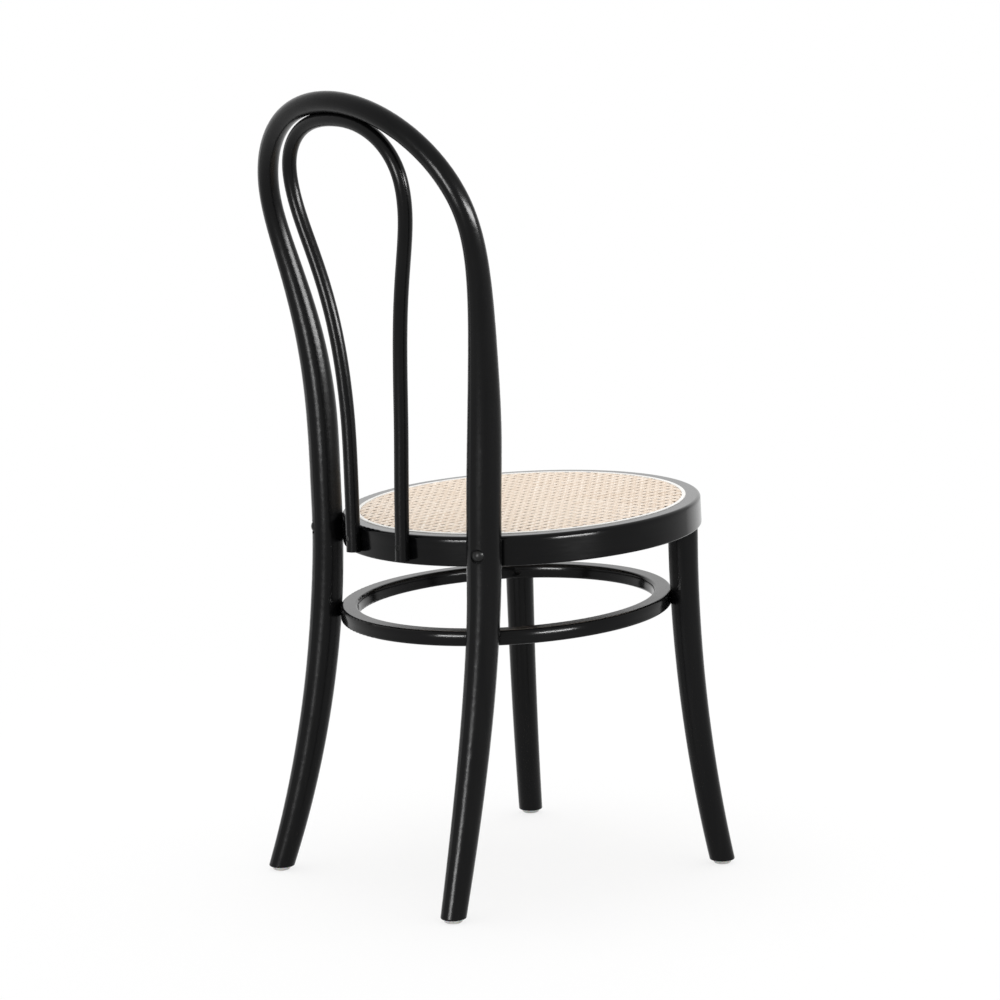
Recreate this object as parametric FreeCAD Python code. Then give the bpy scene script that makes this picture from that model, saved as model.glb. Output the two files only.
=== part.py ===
import FreeCAD, Part
import math
import os

from FreeCAD import Placement, Rotation, Vector

# Bentwood side chair with a round cane seat, in millimetres, +Z up.
# The sitter faces -Y, so +X is the sitter's left hand.
# The origin is on the floor, under the middle of the chair's outer box.

# Seat ring
SEAT_RADIUS = 209.5
SEAT_HEIGHT = 427.5
SEAT_SLOPE = 2.8
SEAT_RING_HEIGHT = 34.0
SEAT_RING_WIDTH = 32.0
SEAT_TOP_ROUND = 4.0
SEAT_BOTTOM_ROUND = 2.0

# Cane panel and the spline that locks it into its groove
RIM_WIDTH = 17.0
SPLINE_WIDTH = 4.6
SPLINE_HEIGHT = 6.4
SPLINE_CROWN = 0.9
CANE_THICKNESS = 1.0
CANE_LIP_ROUND = 3.0
CANE_CELLS_ACROSS = 12
CANE_OPEN_SHARE = 0.3
GROOVE_FLOOR_GAP = 0.6

# Back hoop: both rear legs and the back in one bent rod
HOOP_ANGLE = 39.5
HOOP_SEAT_RADIUS = 18.8
HOOP_FOOT_RADIUS = 14.4
HOOP_CREST_RADIUS = 12.0
HOOP_TAPER_START = 82.0
HOOP_TAPER_END = 372.0
HOOP_OVALITY = 0.8
HOOP_OVAL_BELOW = 100.0
HOOP_OVAL_ABOVE = 170.0
HOOP_BITE = 0.5
BACK_HALF_WIDTH = 179.0
BACK_WIDEST_RISE = 337.5
BACK_ARCH_HEIGHT = 137.0
BACK_LEAN = 91.0
BACK_LEAN_START = 80.0
REAR_SPLAY = 17.0
REAR_RAKE = 68.0

# Inner loop of the back
LOOP_ROD_RADIUS = 8.25
LOOP_FOOT_HALF_GAP = 45.3
LOOP_HALF_WIDTH = 102.0
LOOP_ARCH_HEIGHT = 75.5
LOOP_FOOT_STEP = 5.5
LOOP_BITE = 0.4
LOOP_CREST_INSET = 5.5

# Front legs
FRONT_LEG_ANGLE = 51.7
FRONT_LEG_TOP_RADIUS = 17.4
FRONT_LEG_FOOT_RADIUS = 14.5
FRONT_LEG_INSET = 2.2
FRONT_SPLAY = 26.0
FRONT_RAKE = 33.0
TENON_RADIUS = 9.0
TENON_LENGTH = 22.0

# Leg ring between the four legs
LEG_RING_LEVEL_SHARE = 0.7497
LEG_RING_HEIGHT = 17.4
LEG_RING_WIDTH = 20.0
LEG_RING_ROUND = 3.2
LEG_RING_BITE = 0.7

# Feet
GLIDE_HEIGHT = 4.5
GLIDE_RADIUS = 10.5
GLIDE_ROUND = 3.0
FOOT_ROUND = 1.6
NAIL_RADIUS = 1.2
NAIL_LENGTH = 18.0
NAIL_HEAD_RADIUS = 2.8
NAIL_HEAD_HEIGHT = 1.2
NAIL_RECESS = 1.0

# Dome-headed bolts through hoop and seat ring, turned from the ring's radius towards straight back
BOLT_TURN = 14.0
BOLT_LEVEL = -15.0
BOLT_RADIUS = 3.0
BOLT_HEAD_RADIUS = 7.0
BOLT_DOME_HEIGHT = 3.8
BOLT_SINK = 2.4
BOLT_SINK_RADIUS = 8.4
BOLT_END_SPARE = 2.5
WASHER_RADIUS = 7.5
WASHER_THICKNESS = 1.4
NUT_ACROSS_FLATS = 10.0
NUT_HEIGHT = 5.0
NUT_SEAT_DEPTH = 3.2

# Wood screws: length, shank radius, head radius
LEG_RING_SCREW = (34.0, 2.0, 3.8)
FRONT_LEG_SCREW = (22.0, 2.0, 3.8)
LOOP_FOOT_SCREW = (36.0, 1.75, 3.3)
LOOP_TOP_SCREW = (28.0, 1.75, 3.3)
LOOP_TOP_SCREW_SPACING = 44.0
LOOP_SCREW_LEVEL = -12.5
LOOP_SCREW_SINK = 1.0
LEG_RING_SCREW_SINK = 6.0
FRONT_SCREW_SINK = 3.0
SCREW_TIP_SHARE = 2.0
RECESS_WIDTH_SHARE = 0.22
RECESS_DEPTH_SHARE = 0.5

# Fits
HOLE_CLEARANCE = 0.2
PILOT_CLEARANCE = 0.05
TENON_CLEARANCE = 0.15
MORTISE_SPARE = 1.0

# Shape of the bends: powers of the legs and the lean, and how late the two sides of the back flare
REAR_SPLAY_POWER = 2.9
REAR_RAKE_POWER = 1.85
REAR_TAPER_POWER = 2.0
FRONT_BEND_POWER = 2.05
HOOP_LEAN_POWER = 2.03
LOOP_LEAN_POWER = 1.83
LOOP_SQUARENESS = 2.2
HOOP_FLARE = 3.8
LOOP_FLARE = 4.95
SECTION_POINTS = 16
LEG_STATIONS = 8
HOOP_SIDE_STATIONS = 8
LOOP_SIDE_STATIONS = 12
ARCH_STATIONS = 8
HEX_SIDES = 6

# How far cutting shapes run past what they cut, and how finely places are found and compared
OVERRUN = 12.0
HALVINGS = 60
SAME_PLACE = 1e-3

# Sizes that follow from those above
SLOPE = math.radians(SEAT_SLOPE)
SEAT_INNER_RADIUS = SEAT_RADIUS - SEAT_RING_WIDTH
GROOVE_OUTER_RADIUS = SEAT_RADIUS - RIM_WIDTH
SPLINE_INNER_RADIUS = GROOVE_OUTER_RADIUS - SPLINE_WIDTH
GROOVE_INNER_RADIUS = SPLINE_INNER_RADIUS - CANE_THICKNESS
SPLINE_FOOT = SPLINE_CROWN - SPLINE_HEIGHT
GROOVE_DEPTH = -SPLINE_FOOT + CANE_THICKNESS + GROOVE_FLOOR_GAP
SEAT_MID = -SEAT_RING_HEIGHT / 2
CANE_CELL = 2 * GROOVE_INNER_RADIUS / CANE_CELLS_ACROSS
CANE_OPENING = CANE_CELL * math.sqrt(CANE_OPEN_SHARE)
HOOP_HALF_DEPTH = HOOP_SEAT_RADIUS - HOOP_OVALITY
HOOP_RADIAL = SEAT_RADIUS + HOOP_HALF_DEPTH - HOOP_BITE
LOOP_RADIAL = SEAT_RADIUS + LOOP_ROD_RADIUS - LOOP_BITE
FRONT_LEG_RADIAL = SEAT_RADIUS - FRONT_LEG_INSET - FRONT_LEG_TOP_RADIUS
BACK_SIDE_TOP = SEAT_HEIGHT + BACK_WIDEST_RISE
CREST_HEIGHT = BACK_SIDE_TOP + BACK_ARCH_HEIGHT
CREST_SPACING = HOOP_CREST_RADIUS + LOOP_ROD_RADIUS - LOOP_BITE
CREST_RISE = math.sqrt(CREST_SPACING ** 2 - LOOP_CREST_INSET ** 2)
LOOP_CREST = CREST_HEIGHT - CREST_RISE
LOOP_SIDE_TOP = LOOP_CREST - LOOP_ARCH_HEIGHT
FOOT_LEVEL = GLIDE_HEIGHT
LEG_RING_TOP = SEAT_HEIGHT * LEG_RING_LEVEL_SHARE
BLOCK_SIZE = 2 * CREST_HEIGHT
BOLT_DOME_RADIUS = (BOLT_HEAD_RADIUS ** 2 + BOLT_DOME_HEIGHT ** 2) / (2 * BOLT_DOME_HEIGHT)
NUT_CORNER_RADIUS = NUT_ACROSS_FLATS / math.sqrt(3)


def polar(angle, radius, height):
    """Point at an angle from straight back (+Y) towards +X."""
    turn = math.radians(angle)
    return Vector(radius * math.sin(turn), radius * math.cos(turn), height)


def sloped(point_y, point_z):
    """Placement of a ring whose top centre is at (0, y, z), sloping down to the back."""
    return Placement(Vector(0, point_y, point_z), Rotation(Vector(1, 0, 0), -SEAT_SLOPE))


def along(start, direction):
    """Placement that turns +Z into a direction."""
    return Placement(start, Rotation(Vector(0, 0, 1), direction))


def mirrored(shape):
    return shape.mirror(Vector(0, 0, 0), Vector(1, 0, 0))


def smooth_step(value):
    share = min(max(value, 0.0), 1.0)
    return share * share * (3 - 2 * share)


def disc(radius, height, bottom):
    return Part.makeCylinder(radius, height, Vector(0, 0, bottom))


def tube(outer, inner, height, bottom):
    return disc(outer, height, bottom).cut(disc(inner, height, bottom))


def rounded_profile(points):
    """Closed face in the XZ plane from (x, z, corner radius) points."""
    edges = []
    ends = []
    count = len(points)
    for index, (x, z, radius) in enumerate(points):
        corner = Vector(x, 0, z)
        before = points[index - 1]
        after = points[(index + 1) % count]
        to_before = (Vector(before[0], 0, before[1]) - corner).normalize()
        to_after = (Vector(after[0], 0, after[1]) - corner).normalize()
        if radius <= 0:
            ends.append((corner, corner))
            continue
        half_turn = to_before.getAngle(to_after) / 2
        setback = radius / math.tan(half_turn)
        middle_dir = (to_before + to_after).normalize()
        arc_middle = corner + middle_dir * (radius / math.sin(half_turn) - radius)
        arc_start = corner + to_before * setback
        arc_end = corner + to_after * setback
        edges.append(Part.Arc(arc_start, arc_middle, arc_end).toShape())
        ends.append((arc_start, arc_end))
    for index in range(count):
        start = ends[index][1]
        end = ends[(index + 1) % count][0]
        if start.distanceToPoint(end) > SAME_PLACE:
            edges.append(Part.LineSegment(start, end).toShape())
    wire = Part.Wire(Part.__sortEdges__(edges))
    return Part.Face(wire)


def turned(points):
    """Solid of revolution about +Z."""
    return rounded_profile(points).revolve(Vector(0, 0, 0), Vector(0, 0, 1), 360)


def rod_section(centre, tangent, radius, ovality, wide_direction):
    """Closed curve square on a centreline, round or drawn out a little to one side."""
    across = (Vector(0, 1, 0) - tangent * tangent.y).normalize()
    upward = tangent.cross(across)
    points = []
    for index in range(SECTION_POINTS):
        turn = 2 * math.pi * index / SECTION_POINTS
        spoke = across * math.cos(turn) + upward * math.sin(turn)
        wide_part = wide_direction * spoke.dot(wide_direction)
        points.append(centre + spoke * (radius - ovality) + wide_part * (2 * ovality))
    curve = Part.BSplineCurve()
    curve.interpolate(points, PeriodicFlag=True)
    return Part.Wire([curve.toShape()])


def bent_rod(line):
    """Rod lofted through sections that stand square on a smooth centreline."""
    spine = Part.BSplineCurve()
    spine.interpolate([station[0] for station in line])
    sections = []
    for centre, radius, ovality in line:
        tangent = Vector(*spine.tangent(spine.parameter(centre))[0])
        wide = Vector(centre.y, -centre.x, 0).normalize()
        sections.append(rod_section(centre, tangent, radius, ovality, wide))
    return Part.makeLoft(sections, True, False)


# Seat placement and the bent centrelines, with y measured from the ring's centre

def seat_point(angle, radius, height):
    return sloped(0, SEAT_HEIGHT).multVec(polar(angle, radius, height))


HOOP_JOINT = seat_point(HOOP_ANGLE, HOOP_RADIAL, SEAT_MID)
LOOP_ANGLE = math.degrees(math.asin(LOOP_FOOT_HALF_GAP / LOOP_RADIAL))
LOOP_JOINT = seat_point(LOOP_ANGLE, LOOP_RADIAL, SEAT_MID)
FRONT_JOINT = seat_point(180 - FRONT_LEG_ANGLE, FRONT_LEG_RADIAL, -SEAT_RING_HEIGHT)
LOOP_FOOT_LEVEL = seat_point(LOOP_ANGLE, LOOP_RADIAL, -SEAT_RING_HEIGHT).z + LOOP_FOOT_STEP
CREST_REACH = HOOP_JOINT.y + BACK_LEAN


def rear_leg_drop(height):
    return (HOOP_JOINT.z - height) / (HOOP_JOINT.z - FOOT_LEVEL)


def rear_leg_centre(height):
    drop = rear_leg_drop(height)
    x = HOOP_JOINT.x + REAR_SPLAY * drop ** REAR_SPLAY_POWER
    y = HOOP_JOINT.y + REAR_RAKE * drop ** REAR_RAKE_POWER
    return Vector(x, y, height)


def rear_leg_radius(height):
    taper = rear_leg_drop(height) ** REAR_TAPER_POWER
    return HOOP_SEAT_RADIUS + (HOOP_FOOT_RADIUS - HOOP_SEAT_RADIUS) * taper


def front_leg_drop(height):
    return max(0.0, (FRONT_JOINT.z - height) / (FRONT_JOINT.z - FOOT_LEVEL))


def front_leg_centre(height):
    bend = front_leg_drop(height) ** FRONT_BEND_POWER
    return Vector(FRONT_JOINT.x + FRONT_SPLAY * bend, FRONT_JOINT.y - FRONT_RAKE * bend, height)


def front_leg_radius(height):
    drop = front_leg_drop(height)
    return FRONT_LEG_TOP_RADIUS + (FRONT_LEG_FOOT_RADIUS - FRONT_LEG_TOP_RADIUS) * drop


def leaned(y_start, y_crest, height, crest, power):
    """Depth of a point of the back: upright at first, then leaning back towards the crest."""
    start = SEAT_HEIGHT + BACK_LEAN_START
    rise = max(0.0, (height - start) / (crest - start))
    return y_start + (y_crest - y_start) * rise ** power


def hoop_ovality(height):
    """The hoop is pressed a little flat beside the seat."""
    joint_side = smooth_step((height - HOOP_JOINT.z + HOOP_OVAL_BELOW) / HOOP_OVAL_BELOW)
    back_side = smooth_step((height - HOOP_JOINT.z - HOOP_OVAL_ABOVE / 2) / HOOP_OVAL_ABOVE)
    return HOOP_OVALITY * joint_side * (1 - back_side)


def hoop_back_radius(height):
    span = HOOP_TAPER_END - HOOP_TAPER_START
    taper = smooth_step((height - SEAT_HEIGHT - HOOP_TAPER_START) / span)
    return HOOP_SEAT_RADIUS + (HOOP_CREST_RADIUS - HOOP_SEAT_RADIUS) * taper


def arch_outline(half_width, side_top, arch_height, power):
    """(x, z) from the widest point up to just before the crest, on a squared ellipse."""
    outline = []
    for index in range(ARCH_STATIONS):
        turn = math.pi / 2 * index / ARCH_STATIONS
        x = half_width * math.cos(turn) ** (2 / power)
        z = side_top + arch_height * math.sin(turn) ** (2 / power)
        outline.append((x, z))
    return outline


def side_outline(start, half_width, side_top, flare, stations):
    """(x, z) of the side above its joint with the seat, which flares towards the widest point."""
    outline = []
    for index in range(1, stations):
        rise = index / stations
        widening = 1 / math.cosh(flare * (1 - rise)) - (1 - rise) / math.cosh(flare)
        x = start.x + (half_width - start.x) * widening
        z = start.z + (side_top - start.z) * rise
        outline.append((x, z))
    return outline


def both_sides(half):
    """Whole centreline from its left half, whose last item lies on the middle plane."""
    other = [(Vector(-centre.x, centre.y, centre.z), radius, ovality)
             for centre, radius, ovality in half[:-1]]
    return half + other[::-1]


def hoop_line():
    half = []
    span = HOOP_JOINT.z - FOOT_LEVEL + OVERRUN
    for index in range(LEG_STATIONS):
        height = FOOT_LEVEL - OVERRUN + span * index / LEG_STATIONS
        half.append((rear_leg_centre(height), rear_leg_radius(height), hoop_ovality(height)))
    half.append((HOOP_JOINT, HOOP_SEAT_RADIUS, hoop_ovality(HOOP_JOINT.z)))
    outline = side_outline(HOOP_JOINT, BACK_HALF_WIDTH, BACK_SIDE_TOP, HOOP_FLARE, HOOP_SIDE_STATIONS)
    outline += arch_outline(BACK_HALF_WIDTH, BACK_SIDE_TOP, BACK_ARCH_HEIGHT, 2)
    outline.append((0.0, CREST_HEIGHT))
    for x, height in outline:
        depth = leaned(HOOP_JOINT.y, CREST_REACH, height, CREST_HEIGHT, HOOP_LEAN_POWER)
        half.append((Vector(x, depth, height), hoop_back_radius(height), hoop_ovality(height)))
    return both_sides(half)


def loop_depth(height):
    crest = CREST_REACH - LOOP_CREST_INSET
    return leaned(LOOP_JOINT.y, crest, height, LOOP_CREST, LOOP_LEAN_POWER)


def loop_line():
    foot = Vector(LOOP_JOINT.x, LOOP_JOINT.y, LOOP_FOOT_LEVEL - OVERRUN)
    half = [(foot, LOOP_ROD_RADIUS, 0.0), (LOOP_JOINT, LOOP_ROD_RADIUS, 0.0)]
    outline = side_outline(LOOP_JOINT, LOOP_HALF_WIDTH, LOOP_SIDE_TOP, LOOP_FLARE, LOOP_SIDE_STATIONS)
    outline += arch_outline(LOOP_HALF_WIDTH, LOOP_SIDE_TOP, LOOP_ARCH_HEIGHT, LOOP_SQUARENESS)
    outline.append((0.0, LOOP_CREST))
    for x, height in outline:
        depth = loop_depth(height)
        half.append((Vector(x, depth, height), LOOP_ROD_RADIUS, 0.0))
    return both_sides(half)


def leg_ring_fit():
    """Centre depth and outer radius of the circle that meets all four legs."""
    middle = LEG_RING_TOP - LEG_RING_HEIGHT / 2
    low = FRONT_JOINT.y
    high = HOOP_JOINT.y
    for halving in range(HALVINGS):
        centre = (low + high) / 2
        rear = rear_leg_centre(middle - math.tan(SLOPE) * (HOOP_JOINT.y - centre))
        front = front_leg_centre(middle - math.tan(SLOPE) * (FRONT_JOINT.y - centre))
        rear_reach = math.hypot(rear.x, rear.y - centre) - rear_leg_radius(rear.z)
        front_reach = math.hypot(front.x, front.y - centre) - front_leg_radius(front.z)
        if rear_reach > front_reach:
            low = centre
        else:
            high = centre
    rear_angle = math.degrees(math.atan2(rear.x, rear.y - centre))
    front_angle = math.degrees(math.atan2(front.x, front.y - centre))
    return centre, rear_reach + LEG_RING_BITE, rear_angle, front_angle


LEG_RING_Y, LEG_RING_RADIUS, LEG_RING_REAR_ANGLE, LEG_RING_FRONT_ANGLE = leg_ring_fit()
LEG_RING_INNER_RADIUS = LEG_RING_RADIUS - LEG_RING_WIDTH
CHAIR_BACK = CREST_REACH + HOOP_CREST_RADIUS
CHAIR_FRONT = seat_point(180, SEAT_RADIUS, SEAT_BOTTOM_ROUND - SEAT_RING_HEIGHT).y
FRAME_SHIFT = Vector(0, -(CHAIR_BACK + CHAIR_FRONT) / 2, 0)


# Fasteners, along +Z from the seat of the head

def screw(size):
    """Countersunk wood screw, head's top face at z = 0, tip pointing up."""
    length, shank, head = size
    head_height = head - shank
    tip = shank * SCREW_TIP_SHARE
    body = turned([(0, 0, 0), (head, 0, 0), (shank, head_height, 0), (shank, length - tip, 0),
                   (0, length, 0)])
    slot_width = head * RECESS_WIDTH_SHARE
    slot_depth = head_height * RECESS_DEPTH_SHARE
    for long_side, short_side in ((head, slot_width), (slot_width, head)):
        corner = Vector(-long_side / 2, -short_side / 2, 0)
        body = body.cut(Part.makeBox(long_side, short_side, slot_depth, corner))
    return body


def screw_hole(size, sink):
    """Hole for a screw whose head lies a depth below the surface it enters."""
    length, shank, head = size
    mouth = head + HOLE_CLEARANCE
    pilot = shank + PILOT_CLEARANCE
    head_height = head - shank
    return turned([(0, -sink - OVERRUN, 0), (mouth, -sink - OVERRUN, 0), (mouth, 0, 0),
                   (pilot, mouth - pilot, 0), (pilot, length + head_height, 0),
                   (0, length + head_height, 0)])


def bolt(length):
    """Dome-headed bolt, underside of the head at z = 0, shank pointing up."""
    dome = Part.makeSphere(BOLT_DOME_RADIUS, Vector(0, 0, BOLT_DOME_RADIUS - BOLT_DOME_HEIGHT))
    head = dome.common(disc(BOLT_HEAD_RADIUS, BOLT_DOME_HEIGHT, -BOLT_DOME_HEIGHT))
    return head.fuse(disc(BOLT_RADIUS, length, 0)).removeSplitter()


def hex_nut():
    corners = [polar(360 / HEX_SIDES * index, NUT_CORNER_RADIUS, 0) for index in range(HEX_SIDES + 1)]
    prism = Part.Face(Part.makePolygon(corners)).extrude(Vector(0, 0, NUT_HEIGHT))
    return prism.cut(disc(BOLT_RADIUS, NUT_HEIGHT, 0))


def washer():
    return tube(WASHER_RADIUS, BOLT_RADIUS + HOLE_CLEARANCE, WASHER_THICKNESS, 0)


# Places of the fasteners, each a placement whose +Z runs into the wood

def ring_spot(placement, angle, radius, height, inward):
    """On a ring's radial line, pointing to its axis or away from it."""
    start = polar(angle, radius, height)
    direction = polar(angle, -1.0 if inward else 1.0, 0)
    return placement.multiply(along(start, direction))


def both_hands(angle):
    return (angle, -angle)


SEAT_PLACE = sloped(0, SEAT_HEIGHT)
LEG_RING_PLACE = sloped(LEG_RING_Y, LEG_RING_TOP)
BOLT_AXIS_GAP = HOOP_RADIAL * math.sin(math.radians(BOLT_TURN))
BOLT_MIDWAY = HOOP_RADIAL * math.cos(math.radians(BOLT_TURN))
HEAD_REACH = HOOP_HALF_DEPTH - BOLT_SINK
WASHER_REACH = BOLT_MIDWAY - math.sqrt(SEAT_INNER_RADIUS ** 2 - BOLT_AXIS_GAP ** 2) - NUT_SEAT_DEPTH
NUT_REACH = WASHER_REACH + WASHER_THICKNESS
BOLT_LENGTH = HEAD_REACH + NUT_REACH + NUT_HEIGHT + BOLT_END_SPARE
LOOP_SCREW_SEAT = LOOP_RADIAL + LOOP_ROD_RADIUS - LOOP_SCREW_SINK
TENON_MID = -SEAT_RING_HEIGHT + TENON_LENGTH / 2


def bolt_spots(reach):
    """On the lines of both bolts, a distance inwards from the middle of the hoop's rod."""
    spots = []
    for side in (1, -1):
        middle = polar(side * HOOP_ANGLE, HOOP_RADIAL, BOLT_LEVEL)
        inwards = polar(side * (HOOP_ANGLE - BOLT_TURN), -1.0, 0)
        spots.append(SEAT_PLACE.multiply(along(middle + inwards * reach, inwards)))
    return spots


BOLT_SPOTS = bolt_spots(-HEAD_REACH)
WASHER_SPOTS = bolt_spots(WASHER_REACH)
NUT_SPOTS = bolt_spots(NUT_REACH)
LOOP_FOOT_SPOTS = [ring_spot(SEAT_PLACE, angle, LOOP_SCREW_SEAT, LOOP_SCREW_LEVEL, True)
                   for angle in both_hands(LOOP_ANGLE)]
FRONT_SCREW_SPOTS = [ring_spot(SEAT_PLACE, angle, SEAT_INNER_RADIUS + FRONT_SCREW_SINK, TENON_MID, False)
                     for angle in both_hands(180 - FRONT_LEG_ANGLE)]
LEG_RING_SPOTS = [ring_spot(LEG_RING_PLACE, angle, LEG_RING_INNER_RADIUS + LEG_RING_SCREW_SINK,
                            -LEG_RING_HEIGHT / 2, False)
                  for angle in both_hands(LEG_RING_REAR_ANGLE) + both_hands(LEG_RING_FRONT_ANGLE)]


def loop_top_spots():
    """Screws from the loop's underside up into the hoop, on both sides of the crest."""
    spots = []
    towards_hoop = Vector(0, LOOP_CREST_INSET, CREST_RISE).normalize()
    for side in (-1, 1):
        x = side * LOOP_TOP_SCREW_SPACING / 2
        flat = (1 - (abs(x) / LOOP_HALF_WIDTH) ** LOOP_SQUARENESS) ** (1 / LOOP_SQUARENESS)
        centre_z = LOOP_SIDE_TOP + LOOP_ARCH_HEIGHT * flat
        seat = LOOP_ROD_RADIUS - LOOP_SCREW_SINK
        rod_middle = Vector(x, loop_depth(centre_z), centre_z)
        spots.append(along(rod_middle - towards_hoop * seat, towards_hoop))
    return spots


LOOP_TOP_SPOTS = loop_top_spots()


def placed(shape, spots):
    """Copies of a shape, one at each spot."""
    copies = []
    for spot in spots:
        copy = shape.copy()
        copy.Placement = spot.multiply(copy.Placement)
        copies.append(copy)
    return copies


def cut_each(shape, tools):
    for tool in tools:
        shape = shape.cut(tool)
    return shape


def block(bottom):
    """Block wider and taller than the chair, standing on a level."""
    corner = Vector(-BLOCK_SIZE / 2, -BLOCK_SIZE / 2, bottom)
    return Part.makeBox(BLOCK_SIZE, BLOCK_SIZE, BLOCK_SIZE, corner)


def below(height):
    return block(height - BLOCK_SIZE)


# Wooden pieces

def seat_ring_blank():
    lip_top = -CANE_THICKNESS
    profile = [
        (SEAT_INNER_RADIUS, -SEAT_RING_HEIGHT, SEAT_BOTTOM_ROUND),
        (SEAT_RADIUS, -SEAT_RING_HEIGHT, SEAT_BOTTOM_ROUND),
        (SEAT_RADIUS, 0, SEAT_TOP_ROUND),
        (GROOVE_OUTER_RADIUS, 0, 0),
        (GROOVE_OUTER_RADIUS, -GROOVE_DEPTH, 0),
        (GROOVE_INNER_RADIUS, -GROOVE_DEPTH, 0),
        (GROOVE_INNER_RADIUS, lip_top, 0),
        (SEAT_INNER_RADIUS, lip_top, CANE_LIP_ROUND),
    ]
    ring = turned(profile)
    ring.Placement = SEAT_PLACE
    return ring


def leg_ring_blank():
    profile = [(LEG_RING_INNER_RADIUS, -LEG_RING_HEIGHT, LEG_RING_ROUND),
               (LEG_RING_RADIUS, -LEG_RING_HEIGHT, LEG_RING_ROUND),
               (LEG_RING_RADIUS, 0, LEG_RING_ROUND),
               (LEG_RING_INNER_RADIUS, 0, LEG_RING_ROUND)]
    ring = turned(profile)
    ring.Placement = LEG_RING_PLACE
    return ring


def bolt_holes():
    shank = disc(BOLT_RADIUS + HOLE_CLEARANCE, BOLT_LENGTH, 0)
    sink = disc(BOLT_SINK_RADIUS, OVERRUN, -OVERRUN)
    return placed(shank.fuse(sink), BOLT_SPOTS)


def washer_seats():
    pocket = disc(WASHER_RADIUS + HOLE_CLEARANCE, OVERRUN, 0)
    return placed(pocket, WASHER_SPOTS)


def leg_ring_holes():
    return placed(screw_hole(LEG_RING_SCREW, LEG_RING_SCREW_SINK), LEG_RING_SPOTS)


def loop_foot_holes():
    return placed(screw_hole(LOOP_FOOT_SCREW, LOOP_SCREW_SINK), LOOP_FOOT_SPOTS)


def loop_top_holes():
    return placed(screw_hole(LOOP_TOP_SCREW, LOOP_SCREW_SINK), LOOP_TOP_SPOTS)


def front_screw_holes():
    return placed(screw_hole(FRONT_LEG_SCREW, FRONT_SCREW_SINK), FRONT_SCREW_SPOTS)


def tenon_place(angle):
    """On the underside of the seat ring, square to it."""
    under_ring = polar(angle, FRONT_LEG_RADIAL, -SEAT_RING_HEIGHT)
    return SEAT_PLACE.multiply(Placement(under_ring, Rotation()))


def mortises():
    depth = TENON_LENGTH + MORTISE_SPARE
    pocket = disc(TENON_RADIUS + TENON_CLEARANCE, depth + OVERRUN, -OVERRUN)
    return placed(pocket, [tenon_place(angle) for angle in both_hands(180 - FRONT_LEG_ANGLE)])


def nail_hole(centre):
    depth = NAIL_LENGTH + NAIL_RADIUS
    return Part.makeCylinder(NAIL_RADIUS + PILOT_CLEARANCE, depth, Vector(centre.x, centre.y, 0))


def soft_foot(leg):
    """Leg with the edge of its flat foot rounded."""
    edges = []
    for edge in leg.Edges:
        box = edge.BoundBox
        if box.ZLength < SAME_PLACE and abs(box.ZMin - FOOT_LEVEL) < SAME_PLACE:
            edges.append(edge)
    return leg.makeFillet(FOOT_ROUND, edges)


def back_hoop():
    rod = soft_foot(bent_rod(hoop_line()).cut(below(FOOT_LEVEL)))
    nail = nail_hole(rear_leg_centre(FOOT_LEVEL))
    cuts = [seat_ring_blank(), leg_ring_blank(), nail, mirrored(nail)]
    return cut_each(rod, cuts + bolt_holes() + leg_ring_holes() + loop_top_holes())


def inner_loop(hoop):
    cuts = [below(LOOP_FOOT_LEVEL), seat_ring_blank()] + loop_foot_holes() + loop_top_holes()
    return cut_each(bent_rod(loop_line()), cuts).cut(hoop)


def seat_ring():
    cuts = bolt_holes() + washer_seats() + loop_foot_holes() + front_screw_holes() + mortises()
    return cut_each(seat_ring_blank(), cuts)


def leg_ring():
    return cut_each(leg_ring_blank(), leg_ring_holes())


def front_leg_line():
    heights = []
    span = FRONT_JOINT.z - FOOT_LEVEL + OVERRUN
    for index in range(LEG_STATIONS + 1):
        heights.append(FOOT_LEVEL - OVERRUN + span * index / LEG_STATIONS)
    heights.append(FRONT_JOINT.z + OVERRUN)
    return [(front_leg_centre(height), front_leg_radius(height), 0.0) for height in heights]


def front_leg():
    """Left front leg with its tenon."""
    above_ring = placed(block(-SEAT_RING_HEIGHT), [SEAT_PLACE])
    leg = soft_foot(cut_each(bent_rod(front_leg_line()), [below(FOOT_LEVEL)] + above_ring))
    tenon = placed(disc(TENON_RADIUS, TENON_LENGTH, 0), [tenon_place(180 - FRONT_LEG_ANGLE)])
    cuts = [leg_ring_blank(), nail_hole(front_leg_centre(FOOT_LEVEL))]
    return cut_each(leg.fuse(tenon), cuts + leg_ring_holes() + front_screw_holes())


# Cane

def cane_openings():
    """Plain grid of square openings, which stands for the many small ones of the weave."""
    openings = []
    for column in range(CANE_CELLS_ACROSS):
        for row in range(CANE_CELLS_ACROSS):
            x = (column + 0.5) * CANE_CELL - GROOVE_INNER_RADIUS
            y = (row + 0.5) * CANE_CELL - GROOVE_INNER_RADIUS
            if math.hypot(abs(x) + CANE_OPENING / 2, abs(y) + CANE_OPENING / 2) < SEAT_INNER_RADIUS:
                corner = Vector(x - CANE_OPENING / 2, y - CANE_OPENING / 2, -CANE_THICKNESS)
                openings.append(Part.makeBox(CANE_OPENING, CANE_OPENING, CANE_THICKNESS, corner))
    return Part.makeCompound(openings)


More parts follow.
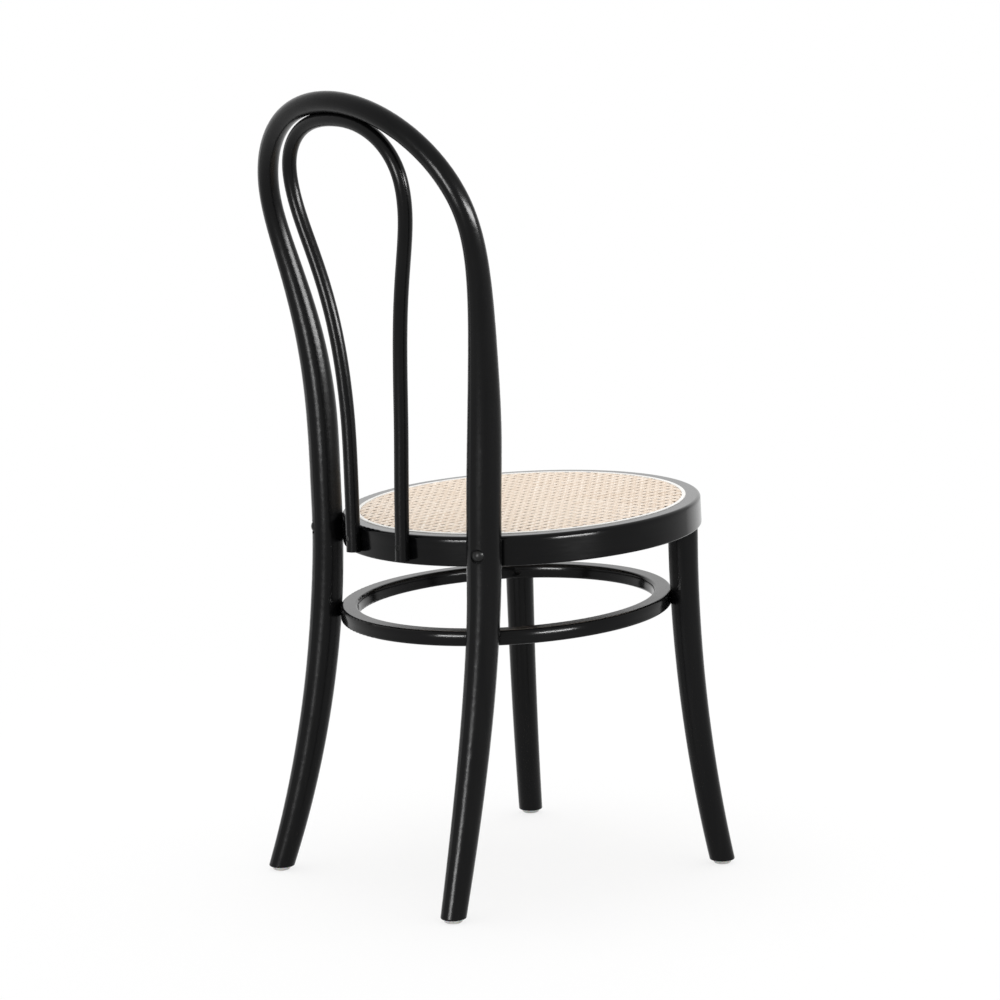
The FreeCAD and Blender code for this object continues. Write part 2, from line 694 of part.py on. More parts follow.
def cane_panel():
    """Sheet of cane webbing, with its rim turned down into the groove."""
    flange_depth = -SPLINE_FOOT + CANE_THICKNESS
    sheet = disc(SPLINE_INNER_RADIUS, CANE_THICKNESS, -CANE_THICKNESS).cut(cane_openings())
    flange = tube(SPLINE_INNER_RADIUS, GROOVE_INNER_RADIUS, flange_depth, -flange_depth)
    tail = tube(GROOVE_OUTER_RADIUS, GROOVE_INNER_RADIUS, CANE_THICKNESS, -flange_depth)
    panel = sheet.fuse([flange, tail]).removeSplitter()
    panel.Placement = SEAT_PLACE
    return panel


def cane_spline():
    crown = SPLINE_CROWN
    profile = [(SPLINE_INNER_RADIUS, SPLINE_FOOT, 0),
               (GROOVE_OUTER_RADIUS, SPLINE_FOOT, 0),
               (GROOVE_OUTER_RADIUS, crown, crown),
               (SPLINE_INNER_RADIUS, crown, crown)]
    ring = turned(profile)
    ring.Placement = SEAT_PLACE
    return ring


# Feet

def glide():
    """Round foot with a stepped hole for its nail."""
    hole = NAIL_RADIUS + HOLE_CLEARANCE
    recess = NAIL_HEAD_RADIUS + HOLE_CLEARANCE
    step = NAIL_HEAD_HEIGHT + NAIL_RECESS
    return turned([(hole, step, 0), (hole, GLIDE_HEIGHT, 0), (GLIDE_RADIUS, GLIDE_HEIGHT, 0),
                   (GLIDE_RADIUS, 0, GLIDE_ROUND), (recess, 0, 0), (recess, step, 0)])


def glide_nail():
    head = disc(NAIL_HEAD_RADIUS, NAIL_HEAD_HEIGHT, NAIL_RECESS)
    shank = disc(NAIL_RADIUS, NAIL_LENGTH - NAIL_RECESS, NAIL_RECESS)
    return head.fuse(shank).removeSplitter()


def foot_spots():
    spots = {}
    for end, centre in (("front", front_leg_centre(FOOT_LEVEL)), ("rear", rear_leg_centre(FOOT_LEVEL))):
        for hand, side in (("left", 1), ("right", -1)):
            spots[end + "_" + hand] = Placement(Vector(side * centre.x, centre.y, 0), Rotation())
    return spots


def write(name, shape):
    """Write a shape's solids in the chair's own frame."""
    solids = shape.Solids
    moved = (solids[0] if len(solids) == 1 else Part.makeCompound(solids)).copy()
    moved.Placement = Placement(FRAME_SHIFT, Rotation()).multiply(moved.Placement)
    moved.exportStep("parts/" + name + ".step")


def write_set(name, shape, spots):
    write(name, Part.makeCompound(placed(shape, spots)))


def build():
    os.makedirs("parts", exist_ok=True)
    hoop = back_hoop()
    leg = front_leg()
    write("back_hoop", hoop)
    write("inner_loop", inner_loop(hoop))
    write("seat_ring", seat_ring())
    write("leg_ring", leg_ring())
    write("front_leg_left", leg)
    write("front_leg_right", mirrored(leg))
    write("cane_panel", cane_panel())
    write("cane_spline", cane_spline())
    write_set("hoop_bolts", bolt(BOLT_LENGTH), BOLT_SPOTS)
    write_set("hoop_bolt_washers", washer(), WASHER_SPOTS)
    write_set("hoop_bolt_nuts", hex_nut(), NUT_SPOTS)
    write_set("loop_foot_screws", screw(LOOP_FOOT_SCREW), LOOP_FOOT_SPOTS)
    write_set("loop_top_screws", screw(LOOP_TOP_SCREW), LOOP_TOP_SPOTS)
    write_set("leg_ring_screws", screw(LEG_RING_SCREW), LEG_RING_SPOTS)
    write_set("front_leg_screws", screw(FRONT_LEG_SCREW), FRONT_SCREW_SPOTS)
    for name, spot in foot_spots().items():
        write_set("glide_" + name, glide(), [spot])
    write_set("glide_nails", glide_nail(), foot_spots().values())


build()
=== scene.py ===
import math

import bmesh
import bpy
from mathutils import Matrix, Vector


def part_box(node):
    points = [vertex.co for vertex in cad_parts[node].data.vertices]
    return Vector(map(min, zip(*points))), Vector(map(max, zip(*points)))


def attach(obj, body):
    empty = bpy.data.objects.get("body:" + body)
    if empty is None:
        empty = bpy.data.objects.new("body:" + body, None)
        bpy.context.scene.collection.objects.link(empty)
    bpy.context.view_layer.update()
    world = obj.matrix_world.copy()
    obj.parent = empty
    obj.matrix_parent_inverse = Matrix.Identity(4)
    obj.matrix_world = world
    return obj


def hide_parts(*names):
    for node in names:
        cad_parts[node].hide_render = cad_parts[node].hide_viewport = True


# Black bentwood chair with a round cane seat. Metres, +Z up, the sitter faces -Y.

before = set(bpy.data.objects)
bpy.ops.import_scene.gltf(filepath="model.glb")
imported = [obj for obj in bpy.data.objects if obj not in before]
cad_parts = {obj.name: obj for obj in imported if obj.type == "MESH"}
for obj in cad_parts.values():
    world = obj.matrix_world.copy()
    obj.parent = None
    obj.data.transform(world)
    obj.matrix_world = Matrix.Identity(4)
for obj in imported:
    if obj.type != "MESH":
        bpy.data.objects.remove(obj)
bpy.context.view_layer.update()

# Seat plane: middle of the seat ring's top face, sloping down to the back
SEAT_SLOPE = math.radians(2.8)
SEAT_HEIGHT = 0.4275
SPLINE_BOX_SHIFT = 0.0001
spline_low, spline_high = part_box("cane_spline")
SEAT_MIDDLE = Vector((0, (spline_low.y + spline_high.y) / 2 + SPLINE_BOX_SHIFT, SEAT_HEIGHT))
SEAT_PLANE = Matrix.Translation(SEAT_MIDDLE) @ Matrix.Rotation(-SEAT_SLOPE, 4, "X")

# Middles of the bends, for grain that follows the bent wood
HOOP_BEND_HEIGHT = 0.765
HOOP_BEND_RADIUS = 0.165
LOOP_BEND_HEIGHT = 0.807
LOOP_BEND_RADIUS = 0.095
SEAT_RING_RADIUS = 0.195
SPLINE_RADIUS = 0.19
LEG_RING_RADIUS = 0.184
LEG_RING_TOP = 0.3205
leg_ring_low, leg_ring_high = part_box("leg_ring")
LEG_RING_MIDDLE_Y = (leg_ring_low.y + leg_ring_high.y) / 2

# Round of the rings' walls below their top edge: how deep it reaches, and its curve per metre
SEAT_CROWN_DEPTH = 0.0072
SEAT_CROWN_CURVE = 35.0
LEG_CROWN_DEPTH = 0.0085
LEG_CROWN_CURVE = 43.6

# Half-inch cane webbing, turned a little on the seat
CANE_PITCH = 0.0127
CANE_TURN = math.radians(1.6)
CANE_PLANE = SEAT_PLANE @ Matrix.Rotation(CANE_TURN, 4, "Z")
PAIR_SPACING = 0.0040
STRAND_WIDTH = 0.0038
DIAGONAL_WIDTH = 0.0035
STRAND_THICKNESS = 0.0013
STRAND_SIDES = 6

# How far the strands rise and sink as they cross, and the shape of their waves
PAIR_LIFT = 0.00026
PAIR_EASE_SHARE = 0.3
PAIR_EASE_LIFT = 0.45
DIAGONAL_LIFT = 0.00055
DIAGONAL_EASE_LIFT = 0.86

# Level of the weave on the seat plane, and its dip under the spline
CANE_LEVEL = 0.0001
CANE_END_RADIUS = 0.1902
CANE_DIP_RADIUS = 0.1835
CANE_DIP_LENGTH = 0.005
CANE_DIP_DEPTH = 0.0017

# Each strand reads its own stretch of the cane's texture
UV_STEP = 0.37
SAME_PLACE = 0.000001


# Materials

class Finish:
    """A material under construction, with short calls for the nodes it uses."""

    def __init__(self, name):
        self.material = bpy.data.materials.new(name)
        self.material.use_nodes = True
        self.tree = self.material.node_tree
        self.shader = self.tree.nodes["Principled BSDF"]

    def node(self, kind, **settings):
        made = self.tree.nodes.new(kind)
        for key, value in settings.items():
            setattr(made, key, value)
        return made

    def plug(self, source, socket):
        if isinstance(source, (int, float, tuple)):
            socket.default_value = source
        else:
            self.tree.links.new(source, socket)

    def place(self, output="Object"):
        return self.node("ShaderNodeTexCoord").outputs[output]

    def stretched(self, vector, scale):
        mapping = self.node("ShaderNodeMapping")
        self.plug(vector, mapping.inputs["Vector"])
        mapping.inputs["Scale"].default_value = scale
        return mapping.outputs["Vector"]

    def noise(self, vector, scale, detail=2.0, roughness=0.5):
        texture = self.node("ShaderNodeTexNoise")
        self.plug(vector, texture.inputs["Vector"])
        texture.inputs["Scale"].default_value = scale
        texture.inputs["Detail"].default_value = detail
        texture.inputs["Roughness"].default_value = roughness
        return texture.outputs["Fac"]

    def ramp(self, factor, stops):
        ramp = self.node("ShaderNodeValToRGB")
        self.plug(factor, ramp.inputs["Fac"])
        elements = ramp.color_ramp.elements
        while len(elements) < len(stops):
            elements.new(0.5)
        for element, (position, colour) in zip(elements, stops):
            element.position = position
            element.color = (*colour, 1.0)
        return ramp.outputs["Color"]

    def spread(self, value, low, high, to_low, to_high):
        """Map a range of values to another, held at its ends."""
        node = self.node("ShaderNodeMapRange")
        self.plug(value, node.inputs["Value"])
        limits = (("From Min", low), ("From Max", high), ("To Min", to_low), ("To Max", to_high))
        for name, number in limits:
            node.inputs[name].default_value = number
        return node.outputs["Result"]

    def math(self, operation, *values):
        node = self.node("ShaderNodeMath", operation=operation)
        for value, socket in zip(values, node.inputs):
            self.plug(value, socket)
        return node.outputs["Value"]

    def mix(self, factor, first, second):
        node = self.node("ShaderNodeMix", data_type="RGBA")
        self.plug(factor, node.inputs["Factor"])
        colour_inputs = [socket for socket in node.inputs if socket.type == "RGBA"]
        self.plug(first, colour_inputs[0])
        self.plug(second, colour_inputs[1])
        return next(socket for socket in node.outputs if socket.type == "RGBA")

    def bump(self, height, distance, below=None):
        """Bump of a height in metres, or of a share of the distance, over another bump."""
        node = self.node("ShaderNodeBump")
        self.plug(height, node.inputs["Height"])
        node.inputs["Distance"].default_value = distance
        node.inputs["Strength"].default_value = 1.0
        if below is not None:
            self.plug(below, node.inputs["Normal"])
        return node.outputs["Normal"]

    def split(self, vector):
        node = self.node("ShaderNodeSeparateXYZ")
        self.plug(vector, node.inputs["Vector"])
        return node.outputs["X"], node.outputs["Y"], node.outputs["Z"]

    def joined(self, x, y, z):
        node = self.node("ShaderNodeCombineXYZ")
        for value, socket in zip((x, y, z), node.inputs):
            self.plug(value, socket)
        return node.outputs["Vector"]

    def set(self, **values):
        for name, value in values.items():
            self.plug(value, self.shader.inputs[name.replace("_", " ")])


# Grain that follows the wood, and the round of the rings' walls

def upright_grain(finish):
    return finish.place()


def bow_grain(finish, bend_height, bend_radius):
    """Place measured along a rod that rises and then bends over in a bow."""
    x, y, z = finish.split(finish.place())
    above = finish.math("MAXIMUM", finish.math("SUBTRACT", z, bend_height), 0.0)
    reach = finish.math("ABSOLUTE", x)
    turn = finish.math("ARCTAN2", above, reach)
    along = finish.math("ADD", finish.math("MINIMUM", z, bend_height),
                        finish.math("MULTIPLY", turn, bend_radius))
    square = finish.math("ADD", finish.math("MULTIPLY", x, x), finish.math("MULTIPLY", above, above))
    return finish.joined(finish.math("SQRT", square), y, along)


def hoop_grain(finish):
    return bow_grain(finish, HOOP_BEND_HEIGHT, HOOP_BEND_RADIUS)


def loop_grain(finish):
    return bow_grain(finish, LOOP_BEND_HEIGHT, LOOP_BEND_RADIUS)


def ring_grain(finish, middle_y, ring_radius):
    """Place measured along a ring that is bent round the vertical."""
    x, y, z = finish.split(finish.place())
    from_middle = finish.math("SUBTRACT", y, middle_y)
    turn = finish.math("ARCTAN2", from_middle, x)
    square = finish.math("ADD", finish.math("MULTIPLY", x, x),
                         finish.math("MULTIPLY", from_middle, from_middle))
    return finish.joined(finish.math("SQRT", square), z, finish.math("MULTIPLY", turn, ring_radius))


def seat_ring_grain(finish):
    return ring_grain(finish, SEAT_MIDDLE.y, SEAT_RING_RADIUS)


def leg_ring_grain(finish):
    return ring_grain(finish, LEG_RING_MIDDLE_Y, LEG_RING_RADIUS)


def crowned_wall(finish, middle_y, top, crown_depth, curve):
    """Height that rounds a sloping ring's wall, from its top face down to the crown's depth."""
    _, y, z = finish.split(finish.place())
    from_middle = finish.math("MULTIPLY", finish.math("SUBTRACT", y, middle_y), math.sin(SEAT_SLOPE))
    below_top = finish.math("SUBTRACT", top * math.cos(SEAT_SLOPE),
                            finish.math("MULTIPLY", z, math.cos(SEAT_SLOPE)))
    depth = finish.math("SUBTRACT", below_top, from_middle)
    to_crown = finish.math("MAXIMUM", finish.math("SUBTRACT", crown_depth, depth), 0.0)
    return finish.math("MULTIPLY", finish.math("MULTIPLY", to_crown, to_crown), -curve / 2)


def seat_ring_crown(finish):
    return crowned_wall(finish, SEAT_MIDDLE.y, SEAT_HEIGHT, SEAT_CROWN_DEPTH, SEAT_CROWN_CURVE)


def leg_ring_crown(finish):
    return crowned_wall(finish, LEG_RING_MIDDLE_Y, LEG_RING_TOP, LEG_CROWN_DEPTH, LEG_CROWN_CURVE)


# Lacquered wood

BLACK = (0.0014, 0.0015, 0.0018)
WORN_BLACK = (0.0032, 0.0032, 0.0034)
PORE_STRETCH = (900.0, 900.0, 45.0)
BAND_STRETCH = (90.0, 90.0, 3.5)
WAVE_SCALE = 20.0
PEEL_SCALE = 320.0
WEAR_SCALE = 9.0
ROD_ROUGHNESS = 0.22
RING_ROUGHNESS = 0.12
WORN_ROUGHNESS = 0.04
PORE_ROUGHNESS = 0.03

# Heights of the fine bumps, each times the lacquer's roughness
WAVE_HEIGHT = 0.0018
PEEL_HEIGHT = 0.000055
PORE_HEIGHT = 0.000027

# Gloss of the lacquer face on, and at the rim from where the surface turns away
FACE_GLOSS = 0.12
FACE_TURN = 0.6
ROD_RIM = (0.95, 0.3)
SEAT_RIM = (0.82, 1.0)


def lacquer(name, grain_of, roughness=ROD_ROUGHNESS, rim=ROD_RIM, crown_of=None):
    """Black lacquer on bent beech: closed pores, slow waves left by sanding, fine orange peel."""
    finish = Finish(name)
    place = finish.place()
    grain = grain_of(finish)
    pores = finish.noise(finish.stretched(grain, PORE_STRETCH), 1.0, 3.0, 0.6)
    bands = finish.noise(finish.stretched(grain, BAND_STRETCH), 1.0, 2.0, 0.5)
    waves = finish.noise(place, WAVE_SCALE, 1.0, 0.4)
    peel = finish.noise(place, PEEL_SCALE, 1.0, 0.5)
    wear = finish.noise(place, WEAR_SCALE, 3.0, 0.6)
    tone = finish.ramp(bands, [(0.3, BLACK), (0.7, WORN_BLACK)])
    rough = finish.math("ADD", finish.spread(wear, 0.3, 0.7, roughness, roughness + WORN_ROUGHNESS),
                        finish.spread(pores, 0.35, 0.65, PORE_ROUGHNESS, 0.0))
    crown = finish.bump(crown_of(finish), 1.0) if crown_of else None
    slow = finish.bump(waves, WAVE_HEIGHT * roughness, below=crown)
    fine = finish.bump(peel, PEEL_HEIGHT * roughness, below=slow)
    open_pores = finish.spread(pores, 0.3, 0.45, 0.0, 1.0)
    surface = finish.bump(open_pores, PORE_HEIGHT * roughness, below=fine)
    facing = finish.node("ShaderNodeLayerWeight").outputs["Facing"]
    rim_turn, rim_gloss = rim
    gloss = finish.spread(facing, FACE_TURN, rim_turn, FACE_GLOSS, rim_gloss)
    finish.set(Base_Color=tone, Roughness=rough, Specular_IOR_Level=gloss, Normal=surface)
    return finish.material


# Cane and reed

CANE_TONES = [(0.34, (0.76, 0.625, 0.50)), (0.5, (0.865, 0.74, 0.62)), (0.66, (0.94, 0.845, 0.745))]
CANE_FIBRE_TONE = (0.70, 0.56, 0.43, 1.0)
CANE_KNOT_TONE = (0.50, 0.36, 0.22, 1.0)
REED_TONES = [(0.3, (0.86, 0.85, 0.82)), (0.7, (0.93, 0.92, 0.90))]
REED_FIBRE_TONE = (0.66, 0.62, 0.55, 1.0)


def cane_skin():
    """Natural cane: a glossy skin with fine fibres, each strand a little different, some knots."""
    finish = Finish("natural cane")
    place = finish.place("UV")
    fibres = finish.noise(finish.stretched(place, (60.0, 9000.0, 1.0)), 1.0, 2.0, 0.5)
    shades = finish.noise(finish.stretched(place, (3.0, 2.7, 1.0)), 1.0, 1.0, 0.5)
    knots = finish.noise(finish.stretched(place, (34.0, 2.9, 1.0)), 1.0, 1.0, 0.5)
    straw = finish.ramp(shades, CANE_TONES)
    streaked = finish.mix(finish.spread(fibres, 0.35, 0.6, 0.35, 0.0), straw, CANE_FIBRE_TONE)
    knotted = finish.mix(finish.spread(knots, 0.72, 0.8, 0.0, 0.5), streaked, CANE_KNOT_TONE)
    rough = finish.spread(shades, 0.3, 0.7, 0.55, 0.42)
    finish.set(Base_Color=knotted, Roughness=rough, Specular_IOR_Level=0.35,
               Normal=finish.bump(fibres, 0.00006))
    return finish.material


def reed():
    """Bleached reed, bent round: pale, with fibres along its length."""
    finish = Finish("bleached reed")
    grain = ring_grain(finish, SEAT_MIDDLE.y, SPLINE_RADIUS)
    fibres = finish.noise(finish.stretched(grain, (2600.0, 2600.0, 60.0)), 1.0, 3.0, 0.55)
    shades = finish.noise(finish.stretched(grain, (40.0, 40.0, 14.0)), 1.0, 2.0, 0.5)
    tone = finish.ramp(shades, REED_TONES)
    streaked = finish.mix(finish.spread(fibres, 0.35, 0.55, 0.25, 0.0), tone, REED_FIBRE_TONE)
    finish.set(Base_Color=streaked, Roughness=finish.spread(fibres, 0.3, 0.7, 0.55, 0.42),
               Specular_IOR_Level=0.4, Normal=finish.bump(fibres, 0.00008))
    return finish.material


# Fasteners and glides

def steel(name, dark, light, metallic, rough_low, rough_high, gloss):
    finish = Finish(name)
    place = finish.place()
    stains = finish.noise(place, 420.0, 3.0, 0.6)
    grit = finish.noise(place, 2600.0, 2.0, 0.5)
    finish.set(Base_Color=finish.ramp(stains, [(0.3, dark), (0.7, light)]), Metallic=metallic,
               Roughness=finish.spread(stains, 0.3, 0.7, rough_low, rough_high),
               Specular_IOR_Level=gloss, Normal=finish.bump(grit, 0.00002))
    return finish.material


def nylon():
    finish = Finish("milky nylon")
    place = finish.place()
    scuffs = finish.noise(finish.stretched(place, (300.0, 300.0, 60.0)), 1.0, 3.0, 0.6)
    clouds = finish.noise(place, 160.0, 2.0, 0.5)
    finish.set(Base_Color=finish.ramp(clouds, [(0.3, (0.66, 0.66, 0.64)), (0.7, (0.76, 0.76, 0.74))]),
               Roughness=finish.spread(scuffs, 0.3, 0.7, 0.3, 0.5), Subsurface_Weight=0.25,
               Subsurface_Scale=0.004, Specular_IOR_Level=0.5, Normal=finish.bump(scuffs, 0.00004))
    return finish.material


# Woven cane

def strand(weave, uv_layer, number, start, direction, width, stations):
    """One strand: a grid wrapped into a flat oval tube. A station is a distance along and a height."""
    count = len(stations) - 1
    grid = bmesh.ops.create_grid(weave, x_segments=count, y_segments=STRAND_SIDES, size=1)["verts"]
    across = Vector((-direction.y, direction.x, 0))
    places = {}
    for vertex in grid:
        step = round((vertex.co.x + 1) / 2 * count)
        row = round((vertex.co.y + 1) / 2 * STRAND_SIDES)
        distance, height = stations[step]
        turn = 2 * math.pi * row / STRAND_SIDES
        side = math.cos(turn) * width / 2
        crown = math.sin(turn) * STRAND_THICKNESS / 2
        middle = start + direction * distance
        dip = max(0.0, middle.length - CANE_DIP_RADIUS) / CANE_DIP_LENGTH
        level = CANE_LEVEL + height - CANE_DIP_DEPTH * dip * dip
        vertex.co = middle + across * side + Vector((0, 0, level + crown))
        places[vertex] = (distance, number * UV_STEP + row * width / STRAND_SIDES)
    faces = {face for vertex in grid for face in vertex.link_faces}
    for face in faces:
        for loop in face.loops:
            loop[uv_layer].uv = places[loop.vert]


def woven_stations(half, first_crossing, period, pattern):
    """Stations of a strand from -half to +half, with a repeating pattern of (share, height)."""
    stations = []
    first_turn = math.floor((-half - first_crossing) / period) - 1
    last_turn = math.ceil((half - first_crossing) / period) + 1
    for turn in range(first_turn, last_turn + 1):
        for share, height in pattern:
            distance = first_crossing + (turn + share) * period
            if -half < distance < half:
                stations.append((distance, height))
    return [(-half, stations[0][1])] + stations + [(half, stations[-1][1])]


def strand_half(offset):
    return math.sqrt(CANE_END_RADIUS ** 2 - offset ** 2)


def finish_weave(weave, name, material):
    """Close the strands' tubes and ends, and lay the weave on the seat in place of the cane panel."""
    bmesh.ops.remove_doubles(weave, verts=weave.verts, dist=SAME_PLACE)
    open_edges = [edge for edge in weave.edges if edge.is_boundary]
    bmesh.ops.holes_fill(weave, edges=open_edges, sides=STRAND_SIDES)
    bmesh.ops.recalc_face_normals(weave, faces=weave.faces)
    bmesh.ops.transform(weave, matrix=CANE_PLANE, verts=weave.verts)
    for face in weave.faces:
        face.smooth = True
    mesh = bpy.data.meshes.new(name)
    weave.to_mesh(mesh)
    weave.free()
    mesh.materials.append(material)
    piece = bpy.data.objects.new(name, mesh)
    bpy.context.scene.collection.objects.link(piece)
    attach(piece, "root")
    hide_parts("cane_panel")


def paired_strands(name, direction, material):
    """Pairs of strands one way. Each is over one and under the next of the pairs it crosses."""
    weave = bmesh.new()
    uv_layer = weave.loops.layers.uv.new("cane")
    across = Vector((-direction.y, direction.x, 0))
    crossing = PAIR_SPACING / 2 / CANE_PITCH
    pairs = int(CANE_END_RADIUS / CANE_PITCH)
    number = 0
    for pair in range(-pairs, pairs + 1):
        for side in (-1, 1):
            offset = pair * CANE_PITCH + side * PAIR_SPACING / 2
            if abs(offset) > CANE_DIP_RADIUS:
                continue
            lift = PAIR_LIFT * side
            eased = lift * PAIR_EASE_LIFT
            pattern = [(0, 0), (crossing, lift), (PAIR_EASE_SHARE, eased), (0.5, 0),
                       (1 - PAIR_EASE_SHARE, -eased), (1 - crossing, -lift)]
            stations = woven_stations(strand_half(offset), 0, CANE_PITCH, pattern)
            strand(weave, uv_layer, number, across * offset, direction, STRAND_WIDTH, stations)
            number += 1
    finish_weave(weave, name, material)


def diagonal_strands(name, direction, material):
    """Single strands at 45 degrees, over the pairs one way and under the pairs the other way."""
    weave = bmesh.new()
    uv_layer = weave.loops.layers.uv.new("cane")
    across = Vector((-direction.y, direction.x, 0))
    spacing = CANE_PITCH / math.sqrt(2)
    rows = int(CANE_END_RADIUS / spacing)
    number = 0
    for row in range(-rows - 1, rows + 1):
        offset = (row + 0.5) * spacing
        if abs(offset) > CANE_DIP_RADIUS:
            continue
        lift = DIAGONAL_LIFT if row % 2 else -DIAGONAL_LIFT
        eased = lift * DIAGONAL_EASE_LIFT
        wave = (lift, eased, 0, -eased, -lift, -eased, 0, eased)
        pattern = [(step / len(wave), height) for step, height in enumerate(wave)]
        stations = woven_stations(strand_half(offset), spacing / 2, 2 * spacing, pattern)
        strand(weave, uv_layer, number, across * offset, direction, DIAGONAL_WIDTH, stations)
        number += 1
    finish_weave(weave, name, material)


cane = cane_skin()
SLANT = math.sqrt(0.5)
paired_strands("cane_strands_across", Vector((1, 0, 0)), cane)
paired_strands("cane_strands_along", Vector((0, 1, 0)), cane)
diagonal_strands("cane_diagonals_left", Vector((SLANT, SLANT, 0)), cane)
diagonal_strands("cane_diagonals_right", Vector((-SLANT, SLANT, 0)), cane)

# Finishes of the carried-over pieces

black_legs = lacquer("black lacquer on the front legs", upright_grain)
black_steel = steel("blackened steel", (0.003, 0.003, 0.003), (0.009, 0.009, 0.009),
                    metallic=0.0, rough_low=0.34, rough_high=0.42, gloss=0.2)
zinc_steel = steel("zinc plated steel", (0.42, 0.42, 0.40), (0.60, 0.60, 0.58),
                   metallic=1.0, rough_low=0.3, rough_high=0.48, gloss=0.5)
milky_nylon = nylon()

FINISHES = {
    "back_hoop": lacquer("black lacquer on the hoop", hoop_grain),
    "inner_loop": lacquer("black lacquer on the loop", loop_grain),
    "seat_ring": lacquer("black lacquer on the seat ring", seat_ring_grain,
                         roughness=RING_ROUGHNESS, rim=SEAT_RIM, crown_of=seat_ring_crown),
    "leg_ring": lacquer("black lacquer on the leg ring", leg_ring_grain,
                        roughness=RING_ROUGHNESS, crown_of=leg_ring_crown),
    "front_leg_left": black_legs,
    "front_leg_right": black_legs,
    "cane_spline": reed(),
    "hoop_bolts": black_steel,
    "loop_foot_screws": black_steel,
    "loop_top_screws": black_steel,
    "leg_ring_screws": black_steel,
    "front_leg_screws": black_steel,
    "hoop_bolt_washers": zinc_steel,
    "hoop_bolt_nuts": zinc_steel,
    "glide_nails": zinc_steel,
    "glide_front_left": milky_nylon,
    "glide_front_right": milky_nylon,
    "glide_rear_left": milky_nylon,
    "glide_rear_right": milky_nylon,
}
for node, finish_material in FINISHES.items():
    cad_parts[node].data.materials.clear()
    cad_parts[node].data.materials.append(finish_material)

# Floor and surround

FLOOR_RADIUS = 9.0
FLOOR_SEGMENTS = 96
FLOOR_TONE = (0.98, 0.98, 0.98, 1.0)
FLOOR_FADE_START = 0.55
FLOOR_FADE_END = 1.9
FLOOR_SHADOW_SHARE = 0.78
SKY_STRENGTH = 0.85
WHITE = (1.0, 1.0, 1.0, 1.0)


def seen_rays(tree):
    """1 for rays from the camera and for those that gloss and glass send out."""
    light_path = tree.nodes.new("ShaderNodeLightPath")
    total = light_path.outputs["Is Camera Ray"]
    for name in ("Is Glossy Ray", "Is Transmission Ray"):
        larger = tree.nodes.new("ShaderNodeMath")
        larger.operation = "MAXIMUM"
        tree.links.new(total, larger.inputs[0])
        tree.links.new(light_path.outputs[name], larger.inputs[1])
        total = larger.outputs["Value"]
    return total


def floor():
    """Pale floor that keeps the chair's shadow and fades to plain white further out."""
    finish = Finish("pale floor")
    x, y, _ = finish.split(finish.place())
    square = finish.math("ADD", finish.math("MULTIPLY", x, x), finish.math("MULTIPLY", y, y))
    fade = finish.spread(finish.math("SQRT", square), FLOOR_FADE_START, FLOOR_FADE_END,
                         FLOOR_SHADOW_SHARE, 1.0)
    share = finish.math("MULTIPLY", fade, seen_rays(finish.tree))
    finish.set(Base_Color=FLOOR_TONE, Roughness=0.9, Specular_IOR_Level=0.0)
    white = finish.node("ShaderNodeEmission")
    white.inputs["Strength"].default_value = 1.0
    mixed = finish.node("ShaderNodeMixShader")
    finish.plug(share, mixed.inputs[0])
    finish.plug(finish.shader.outputs[0], mixed.inputs[1])
    finish.plug(white.outputs[0], mixed.inputs[2])
    output = finish.tree.nodes["Material Output"]
    finish.plug(mixed.outputs[0], output.inputs["Surface"])
    disc = bmesh.new()
    bmesh.ops.create_circle(disc, cap_ends=True, segments=FLOOR_SEGMENTS, radius=FLOOR_RADIUS)
    mesh = bpy.data.meshes.new("floor")
    disc.to_mesh(mesh)
    disc.free()
    mesh.materials.append(finish.material)
    piece = bpy.data.objects.new("floor", mesh)
    bpy.context.scene.collection.objects.link(piece)


def sky():
    """White surround that lights the chair a little less than it shows."""
    world = bpy.data.worlds.new("studio")
    bpy.context.scene.world = world
    world.use_nodes = True
    tree = world.node_tree
    soft = tree.nodes["Background"]
    soft.inputs["Color"].default_value = WHITE
    soft.inputs["Strength"].default_value = SKY_STRENGTH
    white = tree.nodes.new("ShaderNodeBackground")
    white.inputs["Color"].default_value = WHITE
    white.inputs["Strength"].default_value = 1.0
    mixed = tree.nodes.new("ShaderNodeMixShader")
    tree.links.new(seen_rays(tree), mixed.inputs[0])
    tree.links.new(soft.outputs[0], mixed.inputs[1])
    tree.links.new(white.outputs[0], mixed.inputs[2])
    tree.links.new(mixed.outputs[0], tree.nodes["World Output"].inputs["Surface"])


# Camera and lamps

CAMERA_PLACE = Vector((-3.14193, 2.57459, 1.04674))
CAMERA_YAW = 230.5903
CAMERA_PITCH = 8.6705
CAMERA_ROLL = -1.1094
CAMERA_LENS = 127.38
CAMERA_SENSOR = 36.0
CAMERA_SHIFT = (-0.0036, 0.0048)
CAMERA_NEAR = 0.05
CAMERA_FAR = 100.0

RODS = ("back_hoop", "inner_loop", "front_leg_left", "front_leg_right", "hoop_bolts")
RINGS = ("seat_ring", "leg_ring")


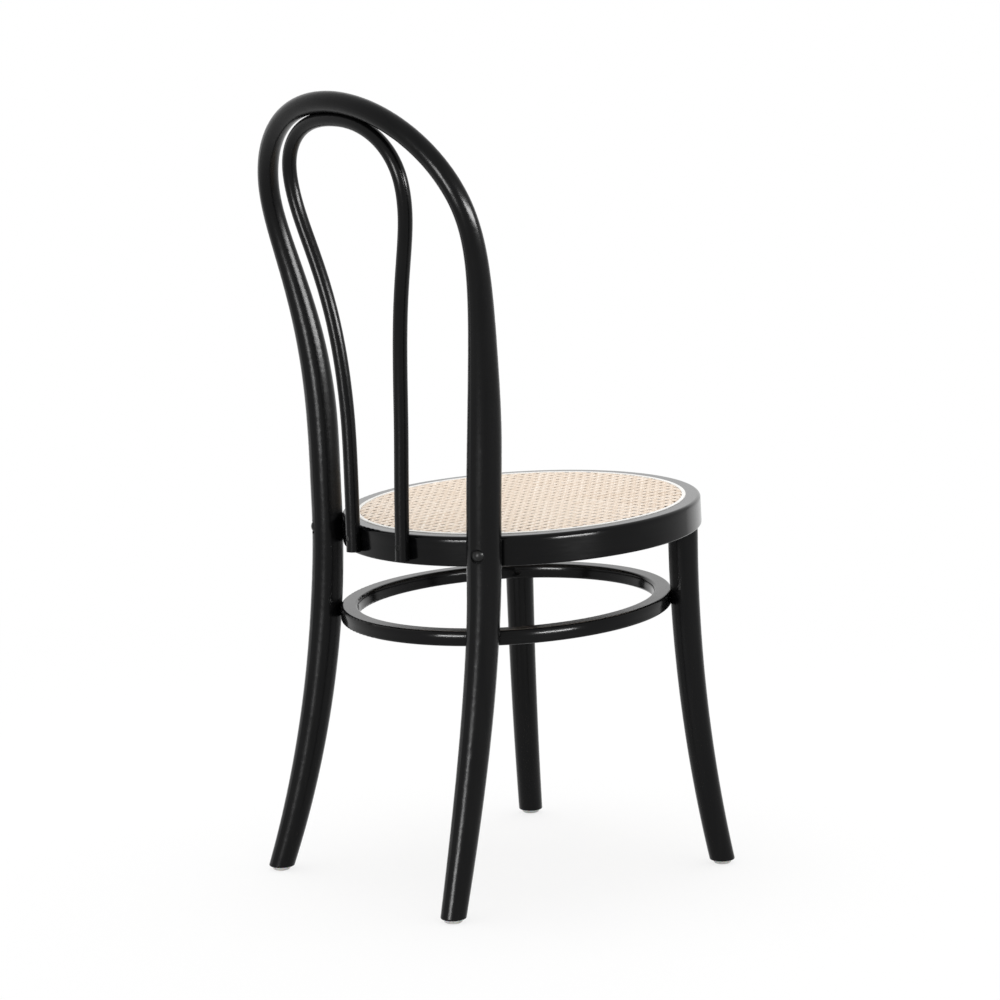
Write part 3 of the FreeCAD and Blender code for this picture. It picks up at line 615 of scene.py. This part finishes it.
def camera():
    yaw, pitch, roll = (math.radians(angle) for angle in (CAMERA_YAW, CAMERA_PITCH, CAMERA_ROLL))
    level = math.cos(pitch)
    back = Vector((math.sin(yaw) * level, -math.cos(yaw) * level, math.sin(pitch)))
    level_right = Vector((math.cos(yaw), math.sin(yaw), 0))
    level_up = back.cross(level_right)
    right = level_right * math.cos(roll) + level_up * math.sin(roll)
    up = level_up * math.cos(roll) - level_right * math.sin(roll)
    view = bpy.data.cameras.new("camera")
    view.lens = CAMERA_LENS
    view.sensor_width = CAMERA_SENSOR
    view.shift_x, view.shift_y = CAMERA_SHIFT
    view.clip_start = CAMERA_NEAR
    view.clip_end = CAMERA_FAR
    holder = bpy.data.objects.new("camera", view)
    turn = Matrix((right, up, back)).transposed().to_4x4()
    holder.matrix_world = Matrix.Translation(CAMERA_PLACE) @ turn
    bpy.context.scene.collection.objects.link(holder)
    bpy.context.scene.camera = holder


def lamp(name, turn, distance, height, width, tall, glow, aim):
    """Rectangular lamp, aimed at a height over the chair's middle.
    Its turn is in degrees round the chair, from the camera towards its right."""
    heading = math.radians(CAMERA_YAW + turn)
    place = Vector((math.sin(heading) * distance, -math.cos(heading) * distance, height))
    light = bpy.data.lights.new(name, "AREA")
    light.shape = "RECTANGLE"
    light.size = width
    light.size_y = tall
    light.energy = glow * math.pi * width * tall
    box = bpy.data.objects.new(name, light)
    box.location = place
    box.rotation_mode = "QUATERNION"
    box.rotation_quaternion = (place - Vector((0, 0, aim))).to_track_quat("Z", "Y")
    box.visible_camera = False
    bpy.context.scene.collection.objects.link(box)
    return box


def soft_lamp(name, **size):
    """Lamp that lights everything and draws no highlight."""
    lamp(name, **size).visible_glossy = False


def strip_lamp(name, pieces, height, **size):
    """Lamp that only draws highlights, level, on the pieces given."""
    box = lamp(name, height=height, aim=height, **size)
    box.visible_diffuse = False
    box.light_linking.receiver_collection = pieces


def lit_pieces(name, nodes):
    """The pieces that a strip lamp draws highlights on."""
    pieces = bpy.data.collections.new(name)
    for node in nodes:
        pieces.objects.link(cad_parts[node])
    return pieces


floor()
sky()
rods = lit_pieces("polished rods", RODS)
rings = lit_pieces("polished rings", RINGS)
strip_lamp("left strip", rods, turn=-33, distance=2.4, height=0.78, width=0.6, tall=0.64, glow=46)
strip_lamp("right strip", rods, turn=52, distance=1.3, height=0.99, width=1.1, tall=0.28, glow=64)
strip_lamp("low left strip", rings, turn=-37, distance=2.4, height=0.34, width=0.75, tall=0.16, glow=90)
strip_lamp("low right strip", rings, turn=32, distance=2.4, height=0.34, width=1.0, tall=0.16, glow=90)
soft_lamp("top softbox", turn=180, distance=0.3, height=2.6, width=1.6, tall=1.6, glow=2.3, aim=0.45)
camera()
bpy.context.scene.view_settings.view_transform = "Standard"
